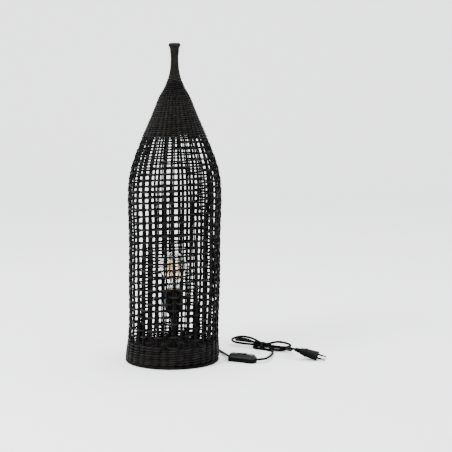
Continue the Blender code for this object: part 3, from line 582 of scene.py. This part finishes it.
def make_tie():
    """A coated wire wound three times round the hank's waist, its ends twisted together."""
    centres = np.array([(-4.4, 5.6), (4.5, 9.6), (-1.2, 10.3), (1.4, 5.0)]) / 1000
    reach, wire = CORD_R + 0.0011, 0.0009
    path = []
    for a in np.linspace(0.35 * TURN, 3.35 * TURN, 3 * 40 + 1):
        out = np.array((math.cos(a), math.sin(a)))
        v, z = centres[np.argmax(centres @ out)] + reach * out
        u = (TIE_AT - 2.4) / 1000 + 0.0018 * (a / TURN - 0.35)
        path.append((u, v, z))
    tie = Strands()
    loops = np.array([HANK_PLACE @ Vector(p) for p in even_curve(path, 0.0008, 2)])
    tie.add(loops, wire, 0.5, 10, outward=np.array([HANK_PLACE.to_3x3() @ Vector((1, 0, 0))] * len(loops)))
    foot = Vector(path[0])
    for phase in (0, math.pi):
        twist = []
        for t in np.linspace(0, 1, 30):
            turn = phase + 2.6 * TURN * t
            spread = wire * 1.02
            along = Vector((0.0010 + 0.0100 * t, -0.0012 - 0.0040 * t, 0.0012 + 0.0030 * t * (1 - 0.7 * t)))
            twist.append(foot + along + Vector((0, spread * math.cos(turn), spread * math.sin(turn))))
        spine = np.array([HANK_PLACE @ p for p in twist])
        tie.add(spine, wire * 0.95, 0.5, 10, outward=np.array([(0, 0, 1.0)] * len(spine)))
    return tie.piece("wire_tie", TIE_PLASTIC, "base", "tie_wire", ("hank_tie",))


# ---- The weave ----

def shade_radius(z):
    """The outer radius at a height, on a smooth curve through the outline's points."""
    heights, radii = OUTLINE[:, 0], OUTLINE[:, 1]
    slopes = np.empty(len(OUTLINE))
    slopes[1:-1] = (radii[2:] - radii[:-2]) / (heights[2:] - heights[:-2])
    slopes[0], slopes[-1] = (np.diff(radii) / np.diff(heights))[[0, -1]]
    i = np.clip(np.searchsorted(heights, z) - 1, 0, len(OUTLINE) - 2)
    h = heights[i + 1] - heights[i]
    t = (z - heights[i]) / h
    return (
        (2 * t**3 - 3 * t**2 + 1) * radii[i] + (t**3 - 2 * t**2 + t) * h * slopes[i]
        + (3 * t**2 - 2 * t**3) * radii[i + 1] + (t**3 - t**2) * h * slopes[i + 1]
    )


def sway(z):
    """How far the hand-woven shade stands to one side at a height."""
    return -0.0033 + 0.0064 * (1 - np.exp(-np.asarray(z) / 0.09)) + 0.0031 * np.asarray(z)


def drift(s, seed):
    """A slow, even-handed wander between -1 and 1."""
    return (np.sin(s + seed * 1.7) + np.sin(s * 2.3 + seed * 3.1) + np.sin(s * 4.1 + seed * 5.3)) / 3


def warp(angle, z):
    """How far stakes stand from even spacing, in radians. It fades out towards the neck."""
    fade = np.clip((0.62 - z) / 0.10, 0, 1)
    return fade * (
        0.010 * np.sin(3 * angle + 1.0 + 5 * z) + 0.011 * np.sin(8 * angle + 2.0 - 9 * z)
        + 0.012 * np.sin(13 * angle + 0.5 + 16 * z)
    )


def on_shade(angle, depth, z):
    """A point at an angle and a depth below the outline, with the shade's own unevenness."""
    real = angle + warp(angle, z)
    r = shade_radius(z) + PROUD - depth
    return np.stack([r * np.cos(real) + sway(z), r * np.sin(real), z], -1)


def helix(low, high, stakes, per_stake, first_angle):
    """The weaver's angles and heights from one height to another."""
    step = TURN / (stakes * per_stake)
    angles, heights = [first_angle], [low]
    while heights[-1] < high:
        heights.append(heights[-1] + float(at(PITCH, heights[-1])) * step / TURN)
        angles.append(angles[-1] + step)
    return np.array(angles), np.array(heights)


def weave(
    name, low, high, stakes, per_stake, first_angle, look, nodes_for, uneven, strands_in_row=1, sides=8
):
    """One zone of the continuous weaver, and the angle where it ends. With two strands in a row they twine:
    one passes in front of a stake while the other passes behind it, and they swap in between."""
    angle, z = helix(low, high, stakes, per_stake, first_angle)
    swing, half, thick = at(SWING, z), at(REED_HIGH, z), at(REED_THICK, z)
    phase = (angle - STAKE_PHASE) * stakes / 2
    lift = uneven * (drift(angle * 0.83, 1) + 0.7 * drift(angle * 2.9, 4))
    ease = np.clip(np.minimum(z - low, high - z) / 0.012, 0, 1)
    strands = Strands()
    for turn in range(strands_in_row):
        over = np.cos(phase + math.pi * turn)
        crossing = 0.45 * half * np.sin(phase + math.pi * turn) * (strands_in_row - 1)
        depth = thick + swing * (1 - over * (1 - 0.10 * np.cos(2 * phase)))
        tilt = ROW_TILT * shade_radius(z) * np.cos(angle)  # the rows climb a little to the right
        spine = on_shade(angle, depth, z + (lift + tilt) * ease + crossing)
        full = 1 + 0.06 * drift(angle * 0.31 + turn, 7)
        # Lighter where the strand passes in front of a stake: partly real wear on the crests, partly a
        # painted highlight.
        wear_and_highlight = 0.34 if strands_in_row == 2 else 0.26
        tone = 0.17 + 0.18 * drift(angle * 0.41 + turn, 2) + 0.20 * drift(angle * 3.7 + turn, 9) + wear_and_highlight * over
        if high <= NECK_LOW:  # the cone's top rows are darker
            tone = tone - 0.22 * np.clip((z - 0.570) / 0.035, 0, 1)
        for a, b in runs_outside_notch(angle, z):
            strands.add(spine[a:b], (half * full)[a:b], tone[a:b], sides, thick=(thick * full)[a:b])
    strands.piece(name, look, "shade", "rattan", nodes_for)
    return angle[-1]


def runs_outside_notch(angle, z):
    """The stretches of a strand that stay clear of the gap in the foot that the cord leaves by."""
    off = (angle - NOTCH_AT + math.pi) % TURN - math.pi
    inside = (np.abs(off) * FOOT_R < NOTCH_HALF) & (z < NOTCH_TOP)
    runs, start = [], None
    for i, blocked in enumerate(inside):
        if not blocked and start is None:
            start = i
        if blocked and start is not None:
            runs.append((start, i))
            start = None
    if start is not None:
        runs.append((start, len(inside)))
    return [(a, b) for a, b in runs if b - a > 3]


def make_stakes(first_angle):
    """The upright stakes, two rods each. The weaver pushes them a little in and out."""
    strands = Strands()
    angle, height = helix(SKIRT_LOW, NECK_TOP, STAKES, 2, first_angle)
    for k in range(STAKES):
        place = STAKE_PHASE + TURN * k / STAKES
        top = LONG_STAKE_TOP if k % 4 == 0 else SHORT_STAKE_TOP + 0.006 * (k % 3)
        off = (place - NOTCH_AT + math.pi) % TURN - math.pi
        low = NOTCH_TOP + 0.003 if abs(off) * FOOT_R < NOTCH_HALF + 2 * ROD_R else 0.0035
        z = np.arange(low, top, 0.0037)
        # The weaver passes this stake once a turn, in front and behind by turns.
        ahead = np.interp(z, height, angle) - place
        passed = ahead * STAKES / 2
        nearest = np.round(ahead / TURN) * TURN * STAKES / 2
        push = 0.0006 * np.cos(nearest) * np.abs(np.cos(passed / STAKES))
        pushed = np.where((z > OPEN_LOW) & (z < CONE_LOW), push, 0)
        depth = at(SWING, z) + at(REED_THICK, z) + pushed
        thin = np.interp(z, (0.36, 0.47, 0.60), (1.0, 0.78, 0.50))
        for side in (-1, 1):
            loose = 1 + 0.25 * drift(z * 11 + k, k + side) + 0.2 * drift(k * 1.9, 6)
            apart = side * ROD_APART / 2 * thin * loose
            spine = on_shade(place + apart / np.maximum(shade_radius(z), 0.02), depth + 0.0003 * side, z)
            wide = ROD_R * thin * (1 + 0.20 * drift(k * 1.3 + side, 3) + 0.04 * drift(z * 40, k))
            tone = 0.10 + 0.16 * drift(z * 14 + k, k + side) + 0.10 * drift(k * 2.1 + side, 5)
            strands.add(spine, wide, tone, 8)
    strands.piece("upright_stakes", RATTAN, "shade", "rattan")


def start_angle():
    """The weaver starts where its first open row comes to the front at the right height."""
    angle, z = helix(SKIRT_LOW, OPEN_LOW + 0.001, STAKES, 4, 0.0)
    return -math.pi / 2 - float(np.interp(OPEN_LOW + 0.0006, z, angle))


def make_weave():
    first = start_angle()
    make_stakes(first)
    end = weave("skirt_weaver", SKIRT_LOW, OPEN_LOW, STAKES, 5, first, RATTAN, ("skirt_weave",), 0.0002, 2)
    open_nodes = ("body_weave", "shoulder_weave")
    end = weave("open_weaver", OPEN_LOW, CONE_LOW, STAKES, 6, end, RATTAN, open_nodes, 0.0012)
    end = weave("cone_weaver", CONE_LOW, NECK_LOW, STAKES, 4, end, RATTAN, ("cone_weave",), 0.0003, 2, 6)
    weave("neck_weaver", NECK_LOW, NECK_TOP, 9, 8, end, RATTAN_FINE, ("neck_weave",), 0.0001)
    make_foot_rope()
    make_rim()


def make_foot_rope():
    """The border that the shade stands on: three strands twisted together, open where the cord leaves."""
    strands = Strands()
    gap = NOTCH_HALF / FOOT_R
    angle = np.linspace(NOTCH_AT + gap, NOTCH_AT + TURN - gap, 900)
    middle, level, strand, spread = 0.1003, 0.0040, 0.0020, 0.0018
    for k in range(3):
        lay = angle * 44 + TURN * k / 3
        r = middle + spread * np.cos(lay)
        spine = np.stack([
            r * np.cos(angle) + sway(0.004), r * np.sin(angle), level + spread * np.sin(lay)
        ], 1)
        tone = 0.15 + 0.2 * drift(angle * 2 + k, k)
        strands.add(spine, strand, tone, 8)
    strands.piece("foot_rope", RATTAN, "shade", "rattan", ("foot_border",))


def make_rim():
    """The rolled rim: two strands wound round the mouth, and three thin bands that close it."""
    strands = Strands()
    mouth, level, roll, turns = 0.0104, 0.6950, 0.0036, 34
    angle = np.linspace(0, TURN, turns * 24, endpoint=False)
    for k in range(2):
        lay = angle * turns / 2 + math.pi * k
        r = mouth + (roll - 0.0012) * np.cos(lay) * 0.55
        z = level + (roll - 0.0008) * np.sin(lay)
        spine = np.stack([r * np.cos(angle) + sway(level), r * np.sin(angle), z], 1)
        # The tone follows the strand's height in the roll: lighter on top and darker underneath, painted
        # light and shade.
        strands.add(spine, 0.0014, 0.25 + 0.15 * np.sin(lay), 8, True)
    for height, r, thick in ((0.6888, 0.0096, 0.0013), (0.6905, 0.0104, 0.0010), (0.6986, 0.0101, 0.0012)):
        spine = np.stack([
            r * np.cos(angle) + sway(height), r * np.sin(angle), height + 0.0002 * np.sin(3 * angle)
        ], 1)
        strands.add(spine, thick, 0.22 + 0.1 * np.sin(5 * angle), 8, True)
    strands.piece("rim_roll", RATTAN_FINE, "shade", "rattan", ("rim_ring",))


# ---- The bulb and its holder ----

def glass_profile(radius, neck, top, low):
    """From the crown down: a ball that draws in to the neck."""
    round_part, centre = math.radians(118), top - radius
    points = [(radius * math.sin(a), centre + radius * math.cos(a)) for a in np.linspace(0, round_part, 26)]
    start = Vector(points[-1])
    reach = start.y - low
    leave = start - Vector((math.tan(round_part - math.pi / 2), 1)) * reach * 0.45
    arrive, end = Vector((neck, low + reach * 0.42)), Vector((neck, low))
    for t in np.linspace(0, 1, 15)[1:]:
        p = start * (1 - t) ** 3 + leave * 3 * t * (1 - t) ** 2 + arrive * 3 * t**2 * (1 - t) + end * t**3
        points.append((p.x, p.y))
    return points


def make_bulb():
    low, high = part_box("bulb_glass")
    radius, wall, foot = (high.x - low.x) / 2, 0.0008, low.z
    outer = glass_profile(radius, 0.0130, high.z, foot)
    inner = glass_profile(radius - wall, 0.0122, high.z - wall, foot)
    turned("bulb_envelope", outer + inner[::-1], CLEAR_GLASS, "bulb", ("bulb_glass",), 72)

    cap_low, cap_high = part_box("bulb_cap")
    cap_r, depth, pitch = (cap_high.x - cap_low.x) / 2, 0.0009, 0.00362
    first, last = cap_low.z + 0.0022, cap_low.z + 0.0195
    heights = np.linspace(first, last, 64)

    def thread(r, z, a):
        if r < cap_r - 0.0001 or not first <= z <= last:
            return r
        fade = min(1, (z - first) / 0.0018, (last - z) / 0.0018)
        return r - depth * fade * (0.5 - 0.5 * math.cos(TURN * (z - first) / pitch - a))

    bore = cap_r - depth - 0.0007
    profile = [(0.0096, cap_low.z), *((cap_r, z) for z in heights), (cap_r, cap_high.z),
               (bore, cap_high.z), (bore, cap_low.z + 0.0022), (0.0090, cap_low.z + 0.0007)]
    turned("screw_cap", profile, CAP_METAL, "bulb", ("bulb_cap",), 72, shape=thread, angle=50)

    low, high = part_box("glass_stem")
    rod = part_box("filament_1")
    stem = [(0, low.z), (0.0112, low.z), (0.0108, low.z + 0.0012), (0.0078, low.z + 0.0034),
            (0.0052, low.z + 0.0056), (0.0042, low.z + 0.0080), (0.0036, low.z + 0.0104),
            (0.0034, low.z + 0.0150), (0.0032, rod[0].z - 0.0020), (0.0024, rod[0].z - 0.0012),
            (0.0018, rod[0].z - 0.0008), (0.0018, high.z - 0.0008), (0.0013, high.z), (0, high.z)]
    turned("stem", stem, STEM_GLASS, "bulb", ("glass_stem",), 40)
    make_filaments()


def make_filaments():
    """Four rods with rounded ends, and the wires that hold them at the foot and the crown."""
    wires = Strands()
    for number in range(1, 5):
        low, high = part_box(f"filament_{number}")
        middle, r = (low + high) / 2, (high.x - low.x) / 2
        place = Matrix.Translation((middle.x, middle.y, 0))
        ends = [(r * math.sin(a), r * (1 - math.cos(a))) for a in np.linspace(0, math.pi / 2, 5)]
        profile = [(x, low.z + y) for x, y in ends] + [(x, high.z - y) for x, y in ends[::-1]]
        stands_for = (f"filament_{number}",)
        turned(f"filament_rod_{number}", profile, AMBER, "bulb", stands_for, 16, place)
        out = Vector((middle.x, middle.y, 0)).normalized()
        ring = Vector((middle.x, middle.y, 0)).length
        foot = [out * d + Vector((0, 0, z)) for d, z in (
            (0.0030, low.z - 0.0060), (0.0060, low.z - 0.0050), (ring * 0.85, low.z - 0.0026),
            (ring, low.z - 0.0004), (ring, low.z + 0.0012))]
        crown = [out * d + Vector((0, 0, z)) for d, z in (
            (0.0, high.z + 0.0013), (ring * 0.5, high.z + 0.0014), (ring * 0.92, high.z + 0.0012),
            (ring, high.z + 0.0004), (ring, high.z - 0.0010))]
        for path in (foot, crown):
            spine = even_curve([tuple(p) for p in path], 0.0008, 1)
            wires.add(spine, 0.00035, 0.5, 8, outward=np.array([(-out.y, out.x, 0.01)] * len(spine)))
    wires.piece("filament_wires", STEEL, "bulb", "filament_wire", ("filament_crown",))


def make_holder():
    """The black two-part lampholder: a domed cover below, and a sleeve with grip ribs."""
    low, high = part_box("holder_dome")
    r, bore, join, z = (high.x - low.x) / 2, 0.0053, high.z, low.z

    def ribs(radius, height, a):
        if radius < r - 0.0012 or not join + 0.0030 < height < join + 0.0260:
            return radius
        return radius - 0.0005 * (0.5 + 0.5 * math.cos(32 * a)) ** 2

    curve = [(0.0080, 0), (0.0092, 0.0008), (0.0101, 0.0022), (0.0112, 0.0038), (0.0126, 0.0052),
             (0.0144, 0.0068), (0.0160, 0.0086), (0.0172, 0.0106), (0.0180, 0.0128), (r, 0.0145)]
    dome = [(bore, z), *((x, z + y) for x, y in curve), (r, join), (0.0164, join), (0.0150, z + 0.0120),
            (0.0110, z + 0.0078), (bore, z + 0.0060)]
    turned("holder_cover", dome, BLACK_PLASTIC, "base", ("holder_dome",), 96)
    low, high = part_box("holder_shell")
    base, top, way = join + 0.0003, high.z, 0.0146
    inside, shelf = 0.0167, 0.1312  # the bore that holds the insert, and the height of the ledge over it
    shell = [(inside, base), (r, base), (r, base + 0.0030),
             *((r, base + 0.0031 + 0.0228 * k / 6) for k in range(7)),
             (r, base + 0.0262), (r, base + 0.0300), (r, top - 0.0016), (r - 0.0004, top - 0.0005),
             (r - 0.0012, top), (way + 0.0008, top), (way + 0.0001, top - 0.0006), (way, top - 0.0012),
             (way, shelf), (inside, shelf)]
    turned("holder_sleeve", shell, BLACK_PLASTIC, "base", ("holder_shell",), 192, shape=ribs)


# ---- The switch and the plug ----

def oblong(length, width, corner, waist, count):
    """Evenly spaced points round an oblong with round corners that draws in at its middle."""
    x, y = length / 2 - corner, width / 2 - corner
    points = []
    for cx, cy, start in ((x, -y, -90), (x, y, 0), (-x, y, 90), (-x, -y, 180)):
        for k in range(13):
            a = math.radians(start + 7.5 * k)
            points.append((cx + corner * math.cos(a), cy + corner * math.sin(a)))
        if start in (0, 180):
            side = 1 if start == 0 else -1
            for t in np.linspace(1, -1, 18)[1:-1]:
                points.append((side * x * t, side * (width / 2 - waist * (1 - t * t))))
    loop = np.array([*points, points[0]])
    run = np.concatenate([[0], np.cumsum(np.linalg.norm(np.diff(loop, axis=0), axis=1))])
    wanted = np.linspace(0, run[-1], count, endpoint=False)
    return np.stack([np.interp(wanted, run, loop[:, 0]), np.interp(wanted, run, loop[:, 1])], 1)


def inset(loop, by):
    """A closed outline drawn in by a distance."""
    along = np.roll(loop, -1, 0) - np.roll(loop, 1, 0)
    along /= np.linalg.norm(along, axis=1)[:, None]
    return loop + by * np.stack([-along[:, 1], along[:, 0]], 1)


def slot_points(loop, length, width):
    """The slot's outline, one point for each point of the loop round it, in the same direction."""
    half, r = (length - width) / 2, width / 2
    angle = np.arctan2(loop[:, 1] * length, loop[:, 0] * width)
    return np.stack([
        np.sign(np.cos(angle)) * half * np.minimum(1, np.abs(np.cos(angle)) * 1.6) + r * np.cos(angle),
        r * np.sin(angle),
    ], 1)


def raised(loop, z):
    return [(x, y, z) for x, y in loop]


def make_switch():
    """The switch: a tray with a rounded foot, and a cover with sloping sides and a recess round its slot."""
    low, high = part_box("switch_base")
    split = high.z
    length, width, corner, waist = 0.0660, 0.0260, 0.0095, 0.0016
    loop = oblong(length, width, corner, waist, 144)
    foot, wall = 0.0012, 0.0018
    rounding = [(foot * (1 - math.sin(a)), foot * (1 - math.cos(a))) for a in np.linspace(0, math.pi / 2, 5)]
    under = [raised(inset(loop, inward), low.z + up) for up, inward in rounding[::-1]]
    tray = [*under, raised(loop, split - 0.0005), raised(inset(loop, 0.0004), split),
            raised(inset(loop, wall), split), raised(inset(loop, wall), 0.0022)]
    skin("switch_tray", tray, BLACK_PLASTIC, "base", ("switch_base",), SWITCH_PLACE)
    low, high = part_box("switch_cover")
    top = high.z
    edge, slope = 0.0108, top - 0.0006
    shoulder = [(0.0, split + 0.0007), (0.0, edge), (0.0003, edge + 0.0007)]
    shoulder += [(0.0055 * t, edge + 0.0007 + (slope - edge - 0.0007) * t) for t in (0.25, 0.5, 0.75, 0.94)]
    shoulder.append((0.0058, slope + 0.0001))
    rings = [raised(inset(loop, 0.0004), split + 0.0003)]
    rings += [raised(inset(loop, d), z) for d, z in shoulder]
    rings.append(raised(inset(loop, 0.0068), top - 0.0004))
    slot, recess = slot_points(loop, 0.0222, 0.0102), slot_points(loop, 0.0262, 0.0134)
    inner = inset(loop, 0.0068)
    for t in (0.35, 0.7):
        rings.append(raised(inner * (1 - t) + recess * t, top - 0.0004 * (1 - t) ** 2))
    rings += [raised(recess, top), raised(recess * 0.7 + slot * 0.3, top - 0.0008),
              raised(slot, top - 0.0016), raised(slot, 0.0120), raised(inset(loop, wall), 0.0118),
              raised(inset(loop, wall), split + 0.0003)]
    # The cover's lighter grey is painted light on the switch's top.
    skin("switch_top", rings, PAINTED_LIGHT_COVER_PLASTIC, "base", ("switch_cover",), SWITCH_PLACE, True)
    make_rocker()


def make_rocker():
    """The rocker: an oval key with a dished top, leaning on its pin."""
    length, width, tip, hollow, lean = 0.0190, 0.0090, 0.0058, 0.0022, math.radians(9)
    half, r = (length - width) / 2, width / 2
    outline = []
    for side, start in ((1, -90), (-1, 90)):
        outline += [
            (side * half + r * math.cos(a), r * math.sin(a))
            for a in (math.radians(start + 7.5 * k) for k in range(25))
        ]
    outline = np.array(outline)

    def dish(x):
        return tip - hollow * (1 - (x / (length / 2)) ** 2)

    rings = [raised(outline * (0.62, 0.9), -0.0034), raised(outline * (0.86, 1), -0.0006),
             [(x, y, 0.5 * dish(x)) for x, y in outline]]
    crown = (1.0, 0.0008), (0.985, 0.0003), (0.955, 0.0), (0.80, 0.0001), (0.5, 0.0003), (0.2, 0.0004)
    for scale, drop in crown:
        rings.append([(x * scale, y * scale, dish(x * scale) - drop) for x, y in outline])
    place = SWITCH_PLACE @ Matrix.Translation((0, 0, 0.0140)) @ Matrix.Rotation(-lean, 4, "Y")
    skin("rocker_key", rings, BLACK_PLASTIC, "rocker", ("switch_rocker",), place)


def plug_section(x, half_width, half_height):
    """A cut across the plug: a flat oblong with full, soft corners."""
    ring = []
    for a in np.linspace(0, TURN, 48, endpoint=False):
        c, s = math.cos(a), math.sin(a)
        across, up = math.copysign(abs(c) ** 0.8, c), math.copysign(abs(s) ** 0.6, s)
        ring.append((x, half_width * across, half_height * up))
    return ring


def make_plug():
    """The flat plug: a ribbed tail, a collar, and a grip that widens to the face."""
    long = 0.0530
    stations = [(0.0, .0040, .0040), (.0004, .0043, .0043)]
    for k in range(5):
        x = 0.0010 + 0.0022 * k
        grow = 0.0006 * k
        for ahead, half in ((0, .0044), (.0010, .0045), (.0013, .0038), (.0019, .0039)):
            stations.append((x + ahead, half + grow, half + grow * 0.35))
    stations += [(.0124, .0080, .0056), (.0150, .0098, .0059), (.0180, .0116, .0061), (.0210, .0130, .0062),
                 (.0235, .0139, .0063), (.0238, .0150, .0071), (.0243, .0153, .0073), (.0263, .0154, .0073),
                 (.0268, .0152, .0071), (.0272, .0143, .0065), (.0300, .0145, .0065), (.0350, .0150, .0065),
                 (.0400, .0156, .0066), (.0450, .0163, .0067), (.0490, .0169, .0068), (.0514, .0172, .0068),
                 (.0524, .0171, .0067), (.0529, .0168, .0064), (long, .0162, .0058)]
    rings = [plug_section(*station) for station in stations]
    skin("plug_grip", rings, BLACK_PLASTIC, "base", ("plug_body",), PLUG_PLACE, angle=28)
    for number, side in ((1, -1), (2, 1)):
        across = PLUG_PLACE @ Matrix.Translation((0, side * 0.0093, 0)) @ Matrix.Rotation(math.pi / 2, 4, "Y")
        start, end, r = long - 0.0004, long + 0.0190, 0.0020
        sleeve_r = r + 0.00005
        sleeve = [(0, start), (sleeve_r, start), (sleeve_r, start + 0.0098), (r - 0.0001, start + 0.0100),
                  (0, start + 0.0100)]
        turned(f"pin_sleeve_{number}", sleeve, BLACK_PLASTIC, "base", (), 32, across)
        tip = [(r * 0.97 * math.cos(a), end - r + r * math.sin(a)) for a in np.linspace(0, math.pi / 2, 8)]
        tip[-1] = (0, end)
        pin = [(0, start + 0.0101), (r * 0.97, start + 0.0101), *tip]
        turned(f"pin_{number}", pin, NICKEL, "base", (f"plug_pin_{number}",), 32, across)


# ---- What the model's own nodes look like ----

NODE_LOOKS = {
    felt_look(): ["felt_pad"],
    cast_look(): ["base_weight"],
    painted_look(): ["base_pan"],
    DARK_STEEL: ["lower_washer", "lower_nut", "upper_washer", "upper_nut", "threaded_tube"],
    BLACK_PLASTIC: ["cord_bush"],
    SHEATH: ["inner_lead"],
    ceramic_look(): ["holder_insert"],
    BRASS: [
        "centre_contact", "side_contact", "terminal_screw_1", "terminal_screw_2",
        "fixed_contact", "feed_contact",
    ],
    STEEL: ["switch_screw_1", "switch_screw_2", "rocker_pin"],
    CAP_METAL: ["bulb_tip"],
    plastic_look("black_cap_glass", (0.008, 0.008, 0.010), 0.14, 900.0, 0.05): ["cap_insulator"],
}


def dress_nodes():
    for look, names in NODE_LOOKS.items():
        for name in names:
            for slot in nodes[name].material_slots:
                slot.material = look


make_studio()
route = cord_route()
tie = make_tie()
make_switch()
make_plug()
make_cord(route)
make_weave()
make_bulb()
make_holder()
dress_nodes()
